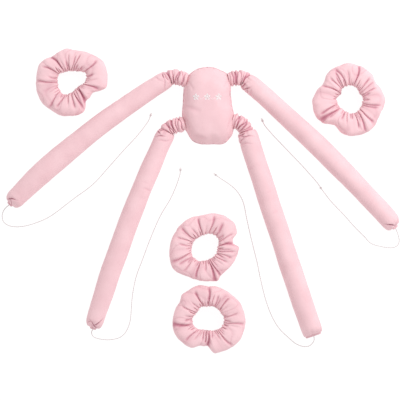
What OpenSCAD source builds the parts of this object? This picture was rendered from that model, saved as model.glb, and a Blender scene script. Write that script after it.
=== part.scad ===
// Heatless hair curling set, laid out flat: a stuffed crown pad with four stuffed curling
// arms on gathered elastic necks, a tie cord at the end of each arm, and four scrunchies.
// Origin: middle of the pad's flat underside. +X right, +Y towards the pad's domed end, +Z up.

/* [Fabric] */
// Thickness of the knitted fabric
fabric = 1.2; // [0.8:0.1:1.6]
// Gap between a cover and its filling
ease = 0.4; // [0.2:0.1:0.8]

/* [Crown pad] */
// Height of the stuffed pad
pad_height = 44; // [40:1:50]
// Height of the seam between the pad's two panels, and of the necks
seam_height = 17; // [16:1:19]
// Width of the stitched ridge along the seam
seam_ridge = 1.4; // [1:0.2:2]

/* [Necks] */
// Radius of a gathered neck
neck_radius = 12; // [10:0.5:12.5]
// Depth of its gathers
gather_depth = 2; // [1:0.2:2.4]
// Number of gathers along it
gathers = 6; // [4:1:8]
// Radius of the elastic inside it
neck_elastic_radius = 2; // [1.5:0.5:3]

/* [Arms] */
// Scale on the arms' own radii
arm_fullness = 1; // [0.95:0.01:1.03]
// Sides of an arm's cross-section
arm_sides = 16; // [12:4:20]

/* [Tie cords] */
// Diameter of a tie cord
cord_diameter = 1.5; // [1.2:0.1:2]
// Radius of the knot at its end
knot_radius = 2.4; // [2:0.2:3]

/* [Scrunchies] */
// Height of a scrunchie lying flat
scrunchie_height = 28; // [24:1:32]
// Radius of the elastic ring inside
ring_elastic_radius = 2.5; // [2:0.5:3.5]
// Angle that the sewn join covers
join_angle = 8; // [6:1:12]

/* [Hidden] */
ARMS = ["left_outer", "left_inner", "right_inner", "right_outer"];
SCRUNCHIES = ["left", "right", "middle", "lower"];
ARM_NODES = [
    "neck_root", "neck_sleeve", "neck_elastic", "cover", "filling", "end_hem", "tie_cord", "cord_knot"
];
SCRUNCHIE_NODES = ["cover", "elastic", "join_seam"];
PAD_NODES = ["pad_top_panel", "pad_bottom_panel", "pad_seam", "pad_filling", "pad_embroidery"];

PINK = "#eeb3bf";
PALE_PINK = "#f3c3cc";
DEEP_PINK = "#e4a0b0";
WHITE = "#fbf7f5";
FIBRE = "#f4f0ea";

// Pad outline, from the domed end round to the left
pad_outline = [
    [3, 62.5], [-16, 59], [-30, 50], [-38, 36], [-40, 20], [-40.5, 2], [-42, -14], [-40, -31], [-33, -44],
    [-24, -55], [-11, -61], [6, -62], [22, -61], [34, -51], [40, -37], [41, -18], [38, 0], [36.5, 20],
    [36, 37], [30, 50], [19, 59]
];
pad_middle = [-1, 0];
// Pad profile: share of the outline, then height as a share of the seam's or the dome's
under_profile = [[0.80, 0], [0.92, 0.18], [0.98, 0.52], [1, 1]];
dome_profile = [[1, 0], [0.985, 0.28], [0.93, 0.56], [0.80, 0.80], [0.58, 0.94], [0.26, 1]];
// How far the seam stands out of the outline
seam_proud = 0.8;
// Stitched flowers: middle, and height of the dome there
flowers = [[-20, 12, 42.6], [-2, 12, 44], [16, 12, 43]];
petal_radius = 2.3;
petal_offset = 3.1;
stitch_depth = 1;
stitch_proud = 0.8;

// Where each neck leaves the pad's edge, where it meets its arm, and where the arm ends
neck_from = [[-39, 42], [-43, -30], [43, -25], [37, 43]];
arm_from = [[-64, 44], [-67, -42], [61, -42], [60, 41]];
arm_to = [[-318, -157], [-185, -356], [168, -367], [299, -194]];
// Way that each neck leaves the pad
neck_out = [[-1, 0.25], [-1, -0.3], [1, -0.3], [1, 0.15]];
// Depth of a neck's root inside the pad's edge, how far it stands out, its wall and its end gap
root_depth = 9;
root_proud = 0.8;
neck_wall = 3.4;
neck_gap = 0.6;
// Bow at the middle of each arm, to the left of its heading, and its radius at five even stations
arm_bow = [-9, -6, -1, 5.5];
arm_radii = [
    [14.5, 15.7, 17, 18, 15],
    [15, 15.8, 16.3, 16.2, 14],
    [16.4, 16.6, 16.7, 17.1, 16.4],
    [15, 15.6, 16.8, 15.8, 15.2]
];
// Half width of each end hem: three are tucked to a point and one is left square
hem_half = [6, 6, 13, 6];
hem_length = 7;
hem_height = 6;
hem_tuck = 4;
// Arm profile: share of the length, width from the hem's (0) to the arm's own (1), then height
// and centre height as shares of the radius
arm_profile = [
    [0, 0.7, 0.82, 1], [0.012, 0.9, 0.94, 1], [0.04, 1, 1, 1], [0.16, 1, 1, 1], [0.30, 1, 1, 1],
    [0.44, 1, 1, 1], [0.58, 1, 1, 1], [0.72, 1, 1, 1], [0.86, 1, 1, 1], [0.95, 1, 1, 1],
    [0.975, 0.88, 0.88, 0.88], [0.99, 0.65, 0.64, 0.66], [1, 0.35, 0.40, 0.50]
];

// Tie cord routes: [x, y, height of the cord's middle], from the end hem to the end knot
lie = cord_diameter / 2 + 0.05;
cord_route = [
    [
        [-319, -158, 6], [-325, -163, 5], [-330, -169, 2], [-332, -178, lie], [-329, -187, lie],
        [-319, -193, lie], [-302, -194, lie], [-281, -189, lie], [-254, -177, lie],
        [-218, -150, lie], [-186, -126, lie], [-162, -100, lie], [-138, -73, lie],
        [-114, -47, lie], [-98, -26, lie], [-93, -15, lie]
    ],
    [
        [-185, -358, 6], [-188, -364, 4.5], [-185, -371, 2], [-174, -375, lie], [-158, -376, lie],
        [-142, -372, lie], [-132, -362, lie], [-126, -346, lie], [-124, -327, lie],
        [-122, -303, lie], [-116, -274, lie], [-106, -247, lie], [-94, -215, lie],
        [-78, -178, lie], [-62, -151, lie], [-52, -129, lie], [-46, -111, lie], [-45, -103, lie]
    ],
    [
        [169, -369, 6], [170, -375, 4.5], [168, -381, 2], [162, -386, lie], [153, -387, lie],
        [140, -382, lie], [126, -370, lie], [114, -358, lie], [102, -338, lie], [92, -311, lie],
        [84, -279, lie], [78, -250, lie], [70, -218, lie], [62, -183, lie], [56, -155, lie],
        [46, -137, lie], [34, -126, lie], [22, -118, lie], [12, -111, lie]
    ],
    [
        [300, -195, 6], [303, -202, 4.5], [306, -210, 2], [307, -219, lie], [302, -226, lie],
        [292, -228, lie], [278, -226, lie], [262, -221, lie], [250, -209, lie], [234, -193, lie],
        [218, -175, lie], [198, -154, lie], [181, -132, lie], [174, -122, lie], [150, -95, lie],
        [126, -70, lie], [106, -49, lie], [92, -33, lie], [87, -24, lie]
    ]
];
// Extra knot part-way along a route, as the number of its point, or -1 for none
mid_knot_at = [-1, -1, -1, 12];
cord_sides = 8;
ring_spacing = 6;

// Scrunchies: centre, then the radius of the outline and of the hole every 30 degrees
scrunchie_centre = [[-220, 38], [225, 10], [-7, -228], [0, -342]];
scrunchie_outer = [
    [56, 61, 53, 51, 51, 57, 56, 55, 55, 55, 52, 50],
    [58, 51, 56, 58, 56, 50, 58, 60, 49, 59, 61, 56],
    [56, 58, 61, 54, 53, 53, 55, 60, 53, 54, 51, 52],
    [59, 57, 53, 54, 58, 53, 56, 60, 54, 53, 57, 61]
];
scrunchie_hole = [
    [21, 25, 19, 17, 18, 21, 20, 21, 21, 16, 12, 13],
    [21, 20, 21, 21, 18, 16, 18, 18, 19, 21, 22, 21],
    [20, 24, 24, 20, 18, 18, 18, 21, 21, 19, 18, 20],
    [23, 21, 20, 20, 21, 21, 24, 24, 19, 18, 20, 22]
];
// Where the join pinches the outline in: angle, depth and half width in degrees
scrunchie_pinch = [[321, 15, 24], [240, 3, 14], [12, 8, 11], [266, 11, 12]];
ring_sides = 10;
ring_steps = 30;
join_gap = 0.6;
// How far the elastic ring lies back from the hole
elastic_setback = 6;
elastic_sides = 8;

function mix(a, b, t) = a + (b - a) * t;
function unit(v) = v / norm(v);
function left_of(v) = [-v[1], v[0]];
function heading(v) = atan2(v[1], v[0]);
function last(list) = len(list) - 1;
function backwards(list) = [for (i = [last(list):-1:0]) list[i]];

// Value at share t along a list of evenly spaced numbers
function along(list, t) =
    let (s = t * last(list), i = min(floor(s), last(list) - 1))
    mix(list[i], list[i + 1], s - i);

// Catmull-Rom curve between b and c
function smooth(a, b, c, d, t) =
    0.5 * (2 * b + (c - a) * t + (2 * a - 5 * b + 4 * c - d) * t * t + (3 * b - a - 3 * c + d) * t * t * t);

// Points on a smooth open curve through a list, about one every `spacing`
function smooth_route(p, spacing) = concat(
    [for (i = [0:last(p) - 1])
        let (n = max(1, round(norm(p[i + 1] - p[i]) / spacing)))
        for (k = [0:n - 1])
            smooth(p[max(i - 1, 0)], p[i], p[i + 1], p[min(i + 2, last(p))], k / n)],
    [p[last(p)]]
);

// Points on a smooth closed curve through a list, `steps` to each span
function smooth_loop(p, steps) = [
    for (i = [0:last(p)], k = [0:steps - 1])
        smooth(p[(i + last(p)) % len(p)], p[i], p[(i + 1) % len(p)], p[(i + 2) % len(p)], k / steps)
];

// Side faces between ring j and the next ring of n points
function band(j, next, n) = [
    for (i = [0:n - 1])
        let (k = (i + 1) % n)
        each [[j * n + i, next * n + i, next * n + k], [j * n + i, next * n + k, j * n + k]]
];

// Closed skin over a row of rings, with its first and last rings capped
module skin(rings) {
    n = len(rings[0]);
    m = len(rings);
    polyhedron(
        [for (r = rings) each r],
        concat(
            [[for (i = [0:n - 1]) i]],
            [for (j = [0:m - 2]) each band(j, j + 1, n)],
            [[for (i = [n - 1:-1:0]) (m - 1) * n + i]]
        )
    );
}

// Closed skin over a row of rings whose last ring joins its first
module skin_loop(rings) {
    n = len(rings[0]);
    m = len(rings);
    polyhedron([for (r = rings) each r], [for (j = [0:m - 1]) each band(j, (j + 1) % m, n)]);
}

// ---------- Crown pad ----------
pad_edge = smooth_loop(pad_outline, 2);
seam_low = seam_height - seam_ridge / 2;
seam_high = seam_height + seam_ridge / 2;

// Pad outline at a share of its size, drawn in by `inset`, at height z
function pad_ring(share, inset, z) = [
    for (p = pad_edge)
        let (out = p - pad_middle, q = pad_middle + out * (share - inset / norm(out)))
        [q[0], q[1], z]
];
function dome_rings(inset) = [
    for (d = dome_profile) pad_ring(d[0], inset, mix(seam_high, pad_height - inset, d[1]))
];
function under_rings(inset) = [
    for (u = under_profile) pad_ring(u[0], inset, mix(inset, seam_low, u[1]))
];

module pad_top_panel() {
    color(PINK) skin(concat(backwards(dome_rings(fabric)), dome_rings(0)));
}

module pad_bottom_panel() {
    color(PINK) skin(concat(under_rings(0), backwards(under_rings(fabric))));
}

// Stitched ridge where the two panels meet
module pad_seam() {
    color(DEEP_PINK) skin_loop([
        pad_ring(1, -seam_proud, seam_low),
        pad_ring(1, -seam_proud, seam_high),
        pad_ring(1, fabric, seam_high),
        pad_ring(1, fabric, seam_low)
    ]);
}

module pad_filling() {
    color(FIBRE) skin(concat(under_rings(fabric + ease), dome_rings(fabric + ease)));
}

// Row of small stitched flowers across the dome
module pad_embroidery() {
    color(WHITE)
        for (f = flowers)
            translate([f[0], f[1], f[2] - stitch_depth])
                linear_extrude(stitch_depth + stitch_proud) flower();
}

module flower() {
    for (k = [0:4])
        rotate(90 + 72 * k) translate([petal_offset, 0]) circle(r = petal_radius, $fn = 24);
    circle(r = petal_radius, $fn = 24);
}

// ---------- Necks ----------
// A sleeve leaves its root along neck_out and turns into its arm's heading
function neck_point(i, t) =
    let (
        a = neck_from[i] + unit(neck_out[i]) * (root_proud + neck_gap),
        d = arm_from[i] - arm_heading(i, 0) * neck_gap,
        reach = norm(d - a) / 3,
        b = a + unit(neck_out[i]) * reach,
        c = d - arm_heading(i, 0) * reach,
        u = 1 - t
    )
    a * u * u * u + b * 3 * u * u * t + c * 3 * u * t * t + d * t * t * t;
function neck_heading(i, t) = unit(neck_point(i, t + 0.001) - neck_point(i, t - 0.001));
function neck_rings(i, steps, low, high) = [
    for (k = [0:steps])
        let (t = k / steps, r = k % 2 == 0 ? low : high)
        oval_ring(
            neck_point(i, t), neck_heading(i, t), r, r, mix(seam_height, lying(arm_radius(i, 0)), t)
        )
];

// Gathered root of a neck, sewn into the pad's seam
module neck_root(i) {
    inside = neck_radius - neck_wall;
    waist = neck_radius - gather_depth;
    color(DEEP_PINK)
        translate([neck_from[i][0], neck_from[i][1], seam_height])
            rotate([0, 90, heading(neck_out[i])])
                rotate_extrude($fn = 48)
                    polygon([
                        [inside, root_proud], [inside, -root_depth], [waist, -root_depth],
                        [neck_radius, (root_proud - root_depth) / 2], [waist, root_proud]
                    ]);
}

module neck_sleeve(i) {
    waist = neck_radius - gather_depth;
    inside = neck_radius - neck_wall;
    color(DEEP_PINK) skin_loop(concat(
        neck_rings(i, 2 * gathers, waist, neck_radius), backwards(neck_rings(i, 4, inside, inside))
    ));
}

module neck_elastic(i) {
    color(WHITE) skin(neck_rings(i, 4, neck_elastic_radius, neck_elastic_radius));
}

// ---------- Arms ----------
// Height of an arm's middle where its radius is r: it lies on its lowest flat
function lying(r) = r * cos(180 / arm_sides);
function arm_radius(i, share) = arm_fullness * along(arm_radii[i], share);

// Middle line of an arm at a share of its length: a quadratic curve with the arm's bow
function arm_middle(i, t) =
    let (
        a = arm_from[i],
        b = arm_to[i],
        c = (a + b) / 2 + 2 * arm_bow[i] * left_of(unit(b - a))
    )
    a * (1 - t) * (1 - t) + c * 2 * t * (1 - t) + b * t * t;
function arm_heading(i, t) = unit(arm_middle(i, t + 0.01) - arm_middle(i, t - 0.01));

// Oval ring across an arm or a neck
function oval_ring(at, dir, wide, high, z) = [
    for (k = [0:arm_sides - 1])
        let (a = 360 * (k + 0.5) / arm_sides, p = at + left_of(dir) * wide * cos(a))
        [p[0], p[1], z + high * sin(a)]
];

// Rings of an arm drawn in by `inset`, the first one `back` from its open end
function arm_rings(i, inset, back) =
    let (long = norm(arm_to[i] - arm_from[i]))
    [
        for (p = arm_profile)
            let (
                t = mix(back / long, 1 - inset / long, p[0]),
                r = arm_radius(i, t),
                wide = mix(hem_half[i], r, p[1])
            )
            oval_ring(arm_middle(i, t), arm_heading(i, t), wide - inset, r * p[2] - inset, lying(r) * p[3])
    ];

// Fabric tube, open where it joins its neck and drawn in at its far end
module cover(i) {
    color(PINK) skin(concat(backwards(arm_rings(i, fabric, 0)), arm_rings(i, 0, 0)));
}

module filling(i) {
    color(FIBRE) skin(arm_rings(i, fabric + ease, fabric));
}

// Folded and stitched end of an arm, which holds the tie cord
module end_hem(i) {
    dir = arm_heading(i, 1);
    color(DEEP_PINK)
        translate([arm_to[i][0], arm_to[i][1], lying(arm_radius(i, 1)) / 2])
            rotate([0, 0, heading(dir)])
                translate([hem_length / 2 - hem_tuck, 0, 0])
                    cube([hem_length, 2 * hem_half[i], hem_height], center = true);
}

// ---------- Tie cords ----------
// Ring of a cord round point j of its line
function cord_ring(line, j) =
    let (
        run = unit(line[min(j + 1, last(line))] - line[max(j - 1, 0)]),
        side = unit([-run[1], run[0], 0]),
        up = cross(run, side)
    )
    [
        for (k = [0:cord_sides - 1])
            let (a = 360 * (k + 0.5) / cord_sides)
            line[j] + cord_diameter / 2 * (side * cos(a) + up * sin(a))
    ];

module tie_cord(i) {
    line = smooth_route(cord_route[i], ring_spacing);
    color(PALE_PINK) skin([for (j = [0:last(line)]) cord_ring(line, j)]);
}

module knot(at) {
    translate([at[0], at[1], knot_radius]) sphere(r = knot_radius, $fn = 32);
}

module cord_knot(i) {
    color(PALE_PINK) {
        knot(cord_route[i][last(cord_route[i])]);
        if (mid_knot_at[i] >= 0) knot(cord_route[i][mid_knot_at[i]]);
    }
}

// ---------- Scrunchies ----------
// Smooth value at an angle from a list of values every 30 degrees
function round_about(list, angle) =
    let (p = (angle % 360 + 360) % 360 / 30, i = floor(p))
    smooth(list[(i + 11) % 12], list[i], list[(i + 1) % 12], list[(i + 2) % 12], p - i);
// Signed difference of two angles, from -180 to 180
function turn_between(a, b) = ((a - b) % 360 + 540) % 360 - 180;
function pinch(s, angle) =
    let (q = scrunchie_pinch[s], away = turn_between(angle, q[0]) / q[2])
    q[1] * exp(-pow(away, 4));

// Ring across a scrunchie's tube at an angle round its hole, drawn in by `inset`
function tube_ring(s, angle, inset) =
    let (
        near = round_about(scrunchie_hole[s], angle),
        far = round_about(scrunchie_outer[s], angle) - pinch(s, angle),
        half = (far - near) / 2,
        tall = scrunchie_height / 2,
        lean = cos(180 / ring_sides)
    )
    [
        for (k = [0:ring_sides - 1])
            let (
                a = 360 * (k + 0.5) / ring_sides,
                r = (near + far) / 2 + (half - inset) * sin(a),
                c = scrunchie_centre[s]
            )
            [c[0] + r * cos(angle), c[1] + r * sin(angle), tall + (tall - inset) * cos(a) / lean]
    ];
function tube_rings(s, inset, from, to, steps) = [
    for (j = [0:steps]) tube_ring(s, mix(from, to, j / steps), inset)
];

// Fabric tube bent round until its two ends meet at the join
module scrunchie_cover(s) {
    from = scrunchie_pinch[s][0] + join_gap / 2;
    to = from + 360 - join_gap;
    color(PINK) skin_loop(concat(
        tube_rings(s, 0, from, to, ring_steps), backwards(tube_rings(s, fabric, from, to, ring_steps))
    ));
}

// Tucked-in end of the tube, sewn inside the other end
module scrunchie_join_seam(s) {
    from = scrunchie_pinch[s][0] - join_angle / 2;
    to = from + join_angle;
    color(DEEP_PINK) skin_loop(concat(
        tube_rings(s, fabric + ease, from, to, 2), backwards(tube_rings(s, 2 * fabric + ease, from, to, 2))
    ));
}

// Elastic loop that gathers the tube round its hole
module scrunchie_elastic(s) {
    c = scrunchie_centre[s];
    color(WHITE) skin_loop([
        for (j = [0:ring_steps - 1])
            let (angle = 360 * j / ring_steps, r = round_about(scrunchie_hole[s], angle) + elastic_setback)
            [
                for (k = [0:elastic_sides - 1])
                    let (a = 360 * (k + 0.5) / elastic_sides, q = r + ring_elastic_radius * sin(a))
                    [
                        c[0] + q * cos(angle), c[1] + q * sin(angle),
                        scrunchie_height / 2 + ring_elastic_radius * cos(a)
                    ]
            ]
    ]);
}

// ---------- The set ----------
pad_top_panel();
pad_bottom_panel();
pad_seam();
pad_filling();
pad_embroidery();
for (i = [0:last(ARMS)]) {
    neck_root(i);
    neck_sleeve(i);
    neck_elastic(i);
    cover(i);
    filling(i);
    end_hem(i);
    tie_cord(i);
    cord_knot(i);
}
for (s = [0:last(SCRUNCHIES)]) {
    scrunchie_cover(s);
    scrunchie_elastic(s);
    scrunchie_join_seam(s);
}
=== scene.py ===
"""Looks of the heatless hair curling set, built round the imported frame.
Lengths are in mm until a mesh is made."""
import math

import bpy
import numpy as np
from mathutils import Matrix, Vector
from mathutils.bvhtree import BVHTree


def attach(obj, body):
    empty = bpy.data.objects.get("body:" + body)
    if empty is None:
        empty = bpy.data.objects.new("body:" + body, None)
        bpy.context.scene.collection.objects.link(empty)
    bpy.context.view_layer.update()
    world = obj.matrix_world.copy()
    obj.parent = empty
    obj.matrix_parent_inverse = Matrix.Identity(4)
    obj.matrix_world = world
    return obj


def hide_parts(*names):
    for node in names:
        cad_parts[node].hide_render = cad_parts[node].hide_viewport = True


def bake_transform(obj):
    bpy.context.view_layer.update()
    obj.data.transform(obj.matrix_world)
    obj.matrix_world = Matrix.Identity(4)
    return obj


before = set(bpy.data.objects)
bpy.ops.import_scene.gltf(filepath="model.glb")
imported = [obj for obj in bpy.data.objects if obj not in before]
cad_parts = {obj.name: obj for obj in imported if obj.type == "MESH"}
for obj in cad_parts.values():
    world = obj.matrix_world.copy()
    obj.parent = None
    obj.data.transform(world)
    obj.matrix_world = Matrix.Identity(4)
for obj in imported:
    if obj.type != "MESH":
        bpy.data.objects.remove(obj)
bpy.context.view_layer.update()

MM = 0.001
TURN = 2 * math.pi

# ---------- camera
VIEW_CENTRE = (-12.8, -152.0)
VIEW_WIDTH = 641.6
VIEW_HEIGHT_AT = 16.0  # the view is that wide at this height
LENS, SENSOR = 140.0, 36.0

camera = bpy.data.objects.new("camera", bpy.data.cameras.new("camera"))
camera.data.lens = LENS
camera.data.sensor_width = SENSOR
camera.location = (
    VIEW_CENTRE[0] * MM,
    VIEW_CENTRE[1] * MM,
    (VIEW_HEIGHT_AT + VIEW_WIDTH * LENS / SENSOR) * MM,
)
bpy.context.scene.collection.objects.link(camera)
bpy.context.scene.camera = camera


# ---------- curves and surfaces
HUM_WAVES = 16
HUM_SPREAD = (0.7, 1.5)  # lengths of its waves, as shares of the size asked for
HUM_PEAK = 1.6  # brings the sum of the waves to about -1 to 1


def unit(v):
    v = np.asarray(v, float)
    return v / np.linalg.norm(v, axis=-1, keepdims=True)


def bell(x):
    return np.exp(-(x**2))


def around_at(angle):
    """Points of a unit circle at angles round it."""
    return np.stack([np.cos(angle), np.sin(angle)], axis=-1)


def smoothstep(x):
    x = np.clip(x, 0, 1)
    return x * x * (3 - 2 * x)


def catmull(points, parts, closed=False):
    """Points on a smooth curve through a list, `parts` to each span."""
    p = np.asarray(points, float)
    n = len(p)
    spans = n if closed else n - 1
    at = np.linspace(0, spans, spans * parts + (0 if closed else 1), endpoint=not closed)
    i = np.minimum(at.astype(int), spans - 1)
    t = (at - i)[:, None]

    def pick(k):
        return p[(i + k) % n] if closed else p[np.clip(i + k, 0, n - 1)]

    a, b, c, d = pick(-1), pick(0), pick(1), pick(2)
    return 0.5 * (
        2 * b + (c - a) * t + (2 * a - 5 * b + 4 * c - d) * t**2 + (3 * b - a - 3 * c + d) * t**3
    )


def run_of(line):
    """Distance along a line at each of its points."""
    return np.concatenate([[0], np.cumsum(np.linalg.norm(np.diff(line, axis=0), axis=1))])


def spaced(line, step):
    """The same line with points about `step` apart."""
    run = run_of(line)
    at = np.linspace(0, run[-1], max(2, int(round(run[-1] / step)) + 1))
    return np.stack([np.interp(at, run, line[:, k]) for k in range(line.shape[1])], axis=1)


def line_frames(line, closed=False):
    """Heading, left and up of a line at each of its points."""
    if closed:
        along = np.roll(line, -1, axis=0) - np.roll(line, 1, axis=0)
    else:
        along = np.gradient(line, axis=0)
    heading = unit(along)
    left = unit(np.stack([-heading[:, 1], heading[:, 0], np.zeros(len(line))], axis=1))
    return heading, left, np.cross(heading, left)


def spokes(left, up, angle):
    """Ways from a line's points to the points of the rings round it."""
    return left[:, None] * np.cos(angle)[None, :, None] + up[:, None] * np.sin(angle)[None, :, None]


def hum(points, size, seed, waves=HUM_WAVES):
    """Soft irregular waves about `size` across, from -1 to 1, the same on every run."""
    rng = np.random.RandomState(seed)
    points = np.asarray(points, float)
    total = np.zeros(points.shape[:-1])
    for _ in range(waves):
        way = unit(rng.normal(size=points.shape[-1]))
        pitch = size * rng.uniform(*HUM_SPREAD)
        total += np.sin(points @ way * TURN / pitch + rng.uniform(0, TURN))
    return total / math.sqrt(waves) / HUM_PEAK


def circle_of(sides):
    """Angles round a tube, and the points of a unit circle at them."""
    angle = np.arange(sides) / sides * TURN
    return angle, around_at(angle)


def tube_grid(run, around, radius):
    """Points of a straight tube as long as a piece, on which its random wandering is drawn."""
    shape = (len(run), len(around))
    return np.dstack([np.broadcast_to(v, shape) for v in (run[:, None], *(around * radius).T)])


def grid_faces(rows, columns, close_rows=False):
    """Quads over a grid of points whose rows are closed rings."""
    faces = []
    for i in range(rows if close_rows else rows - 1):
        for j in range(columns):
            a, b = i * columns + j, i * columns + (j + 1) % columns
            c, d = (i + 1) % rows * columns + (j + 1) % columns, (i + 1) % rows * columns + j
            faces.append((a, b, c, d))
    return faces


def end_cap(points, faces, ring, centre, outwards):
    """Closes a ring of point numbers with a fan to one middle point."""
    points.append(centre)
    m = len(points) - 1
    for a, b in zip(ring, ring[1:] + ring[:1]):
        faces.append((b, a, m) if outwards else (a, b, m))


class Skin:
    """Points and faces of one piece, from several surfaces, with a depth of fold at each point,
    painted as shade in its colour.
    """

    def __init__(self):
        self.points, self.faces, self.painted_shade = [], [], []

    def add(self, points, faces, painted_shade=None):
        first = len(self.points)
        self.points.extend(np.asarray(points, float).reshape(-1, 3).tolist())
        self.painted_shade.extend(
            [0.0] * (len(self.points) - first) if painted_shade is None else np.ravel(painted_shade).tolist()
        )
        self.faces.extend(tuple(first + k for k in f) for f in faces)

    def tube(self, rings, painted_shade=None):
        """A closed tube through rings of points, wound so that its faces look outwards."""
        rows, columns = rings.shape[:2]
        points = rings.reshape(-1, 3).tolist()
        faces = grid_faces(rows, columns)
        # painted shade of each point, and of the two end caps' middles
        depth = [0.0] * len(points) if painted_shade is None else np.ravel(painted_shade).tolist()
        for row, outwards in ((0, True), (rows - 1, False)):
            ring = list(range(row * columns, (row + 1) * columns))
            end_cap(points, faces, ring, rings[row].mean(axis=0).tolist(), outwards)
            depth.append(float(np.mean(depth[ring[0]:ring[-1] + 1])))
        self.add(points, faces, depth)

    def piece(self, name, material):
        mesh = bpy.data.meshes.new(name)
        mesh.from_pydata((np.array(self.points) * MM).tolist(), [], self.faces)
        mesh.validate()
        # painted shade: the depth of fold at each point, which the materials paint as a darker
        # colour
        depth = mesh.attributes.new("painted_shade", "FLOAT", "POINT")
        depth.data.foreach_set("value", np.array(self.painted_shade, np.float32))
        mesh.polygons.foreach_set("use_smooth", [True] * len(mesh.polygons))
        mesh.materials.append(material)
        obj = bpy.data.objects.new(name, mesh)
        bpy.context.scene.collection.objects.link(obj)
        return obj


def round_rings(line, radius, sides, closed=False):
    """Rings of points round a line. The radius is a number, or a list along the line."""
    _, left, up = line_frames(line, closed)
    a = (np.arange(sides) + 0.5) / sides * TURN
    r = np.broadcast_to(np.asarray(radius, float), (len(line),)).reshape(-1, 1, 1)
    return line[:, None] + r * spokes(left, up, a)


# ---------- materials
HEATHER = 0.05  # how far the cloth's colour wanders, as a share of it
HEATHER_WEIGHTS = (0.6, 1.6, 1.4)  # red wanders least on the deeper side
HEATHER_RAMP = (0.35, 0.65)
PATCH_SCALE, FIBRE_SCALE = 38.0, 1400.0  # noise for broad patches and for the brushed fibres
FIBRE_SHARE = 0.4  # the fibres' part in the colour
FUZZ_SHARE = 0.5  # height of the fibres as a share of the stitches'
STITCH_DEPTH = 0.0003  # in metres, as the material's other lengths
WALE_RANDOMNESS = 0.35
SHEEN_ROUGHNESS, SHEEN_TINT = 0.5, (1.0, 0.93, 0.94, 1)
CLOTH_SPECULAR = 0.2


def knit(name, colour, painted_shade_colour, rib=0.0011, bump=0.35, sheen=0.12, roughness=0.88):
    """Brushed knit: fine stitches, a heathered colour, and painted shade, a deeper colour down in
    the folds.
    """
    material = bpy.data.materials.new(name)
    material.use_nodes = True
    tree = material.node_tree
    shader = tree.nodes["Principled BSDF"]

    def node(kind, **values):
        made = tree.nodes.new(kind)
        for key, value in values.items():
            if key in made.inputs:
                made.inputs[key].default_value = value
            else:
                setattr(made, key, value)
        return made

    link = tree.links.new
    place = node("ShaderNodeTexCoord")
    broad = node("ShaderNodeTexNoise", Scale=PATCH_SCALE, Detail=3.0, Roughness=0.5)
    fine = node("ShaderNodeTexNoise", Scale=FIBRE_SCALE, Detail=2.0, Roughness=0.6)
    link(place.outputs["Object"], broad.inputs["Vector"])
    link(place.outputs["Object"], fine.inputs["Vector"])

    paler = tuple(min(1, c * (1 + HEATHER)) for c in colour)
    deeper = tuple(c * (1 - HEATHER * w) for c, w in zip(colour, HEATHER_WEIGHTS))
    shade = node("ShaderNodeValToRGB")
    for stop, position, tone in zip(shade.color_ramp.elements, HEATHER_RAMP, (deeper, paler)):
        stop.position, stop.color = position, (*tone, 1)
    blend = node("ShaderNodeMix", data_type="FLOAT")
    blend.inputs[0].default_value = FIBRE_SHARE
    link(broad.outputs["Fac"], blend.inputs[2])
    link(fine.outputs["Fac"], blend.inputs[3])
    link(blend.outputs[0], shade.inputs["Fac"])

    # painted shade: the depth of fold at each point draws the colour towards the shade colour
    depth = node("ShaderNodeAttribute", attribute_name="painted_shade")
    painted_shade_mix = node("ShaderNodeMix", data_type="RGBA")
    painted_shade_mix.inputs[7].default_value = (*painted_shade_colour, 1)
    link(depth.outputs["Fac"], painted_shade_mix.inputs[0])
    link(shade.outputs["Color"], painted_shade_mix.inputs[6])
    link(painted_shade_mix.outputs[2], shader.inputs["Base Color"])

    wale = node("ShaderNodeTexVoronoi", Scale=1 / rib, Randomness=WALE_RANDOMNESS)
    link(place.outputs["Object"], wale.inputs["Vector"])
    fuzz = node("ShaderNodeMath", operation="MULTIPLY_ADD")
    fuzz.inputs[1].default_value = FUZZ_SHARE
    link(fine.outputs["Fac"], fuzz.inputs[0])
    link(wale.outputs["Distance"], fuzz.inputs[2])
    raised = node("ShaderNodeBump", Strength=bump, Distance=STITCH_DEPTH)
    link(fuzz.outputs[0], raised.inputs["Height"])
    link(raised.outputs["Normal"], shader.inputs["Normal"])

    for key, value in (
        ("Roughness", roughness), ("Sheen Weight", sheen), ("Sheen Roughness", SHEEN_ROUGHNESS),
        ("Sheen Tint", SHEEN_TINT), ("Specular IOR Level", CLOTH_SPECULAR),
    ):
        shader.inputs[key].default_value = value
    return material


PINK = (0.83, 0.565, 0.598)
# painted shade colour for the folds, creases, seams and stitch waists
PAINTED_SHADE_PINK = (0.57, 0.235, 0.305)
# each material's second colour is its painted shade in the folds
pad_cloth = knit("pad_cloth", PINK, PAINTED_SHADE_PINK)
arm_cloth = knit("arm_cloth", PINK, PAINTED_SHADE_PINK)
neck_cloth = knit("neck_cloth", (0.825, 0.55, 0.585), PAINTED_SHADE_PINK)
ring_cloth = knit("ring_cloth", (0.85, 0.58, 0.615), PAINTED_SHADE_PINK)
seam_cloth = knit("seam_cloth", (0.825, 0.545, 0.585), PAINTED_SHADE_PINK, rib=0.0008)
thread = knit("pink_thread", (0.84, 0.46, 0.52), PAINTED_SHADE_PINK, rib=0.0004, bump=0.2, roughness=0.6)
white_thread = knit(
    "white_thread", (0.97, 0.93, 0.93), (0.8, 0.6, 0.62),
    rib=0.0004, bump=0.25, sheen=0.1, roughness=0.45,
)
cord_cloth = knit("cord_cloth", (0.72, 0.67, 0.67), (0.58, 0.51, 0.515), rib=0.0005, bump=0.4)
elastic_cloth = knit("elastic_cloth", (0.9, 0.87, 0.85), (0.7, 0.6, 0.6), rib=0.0006, sheen=0.1)

# ---------- tie cords
ARMS = ["left_outer", "left_inner", "right_inner", "right_outer"]
CORD_DIAMETER = 1.5
LIE = CORD_DIAMETER / 2 + 0.05
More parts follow.
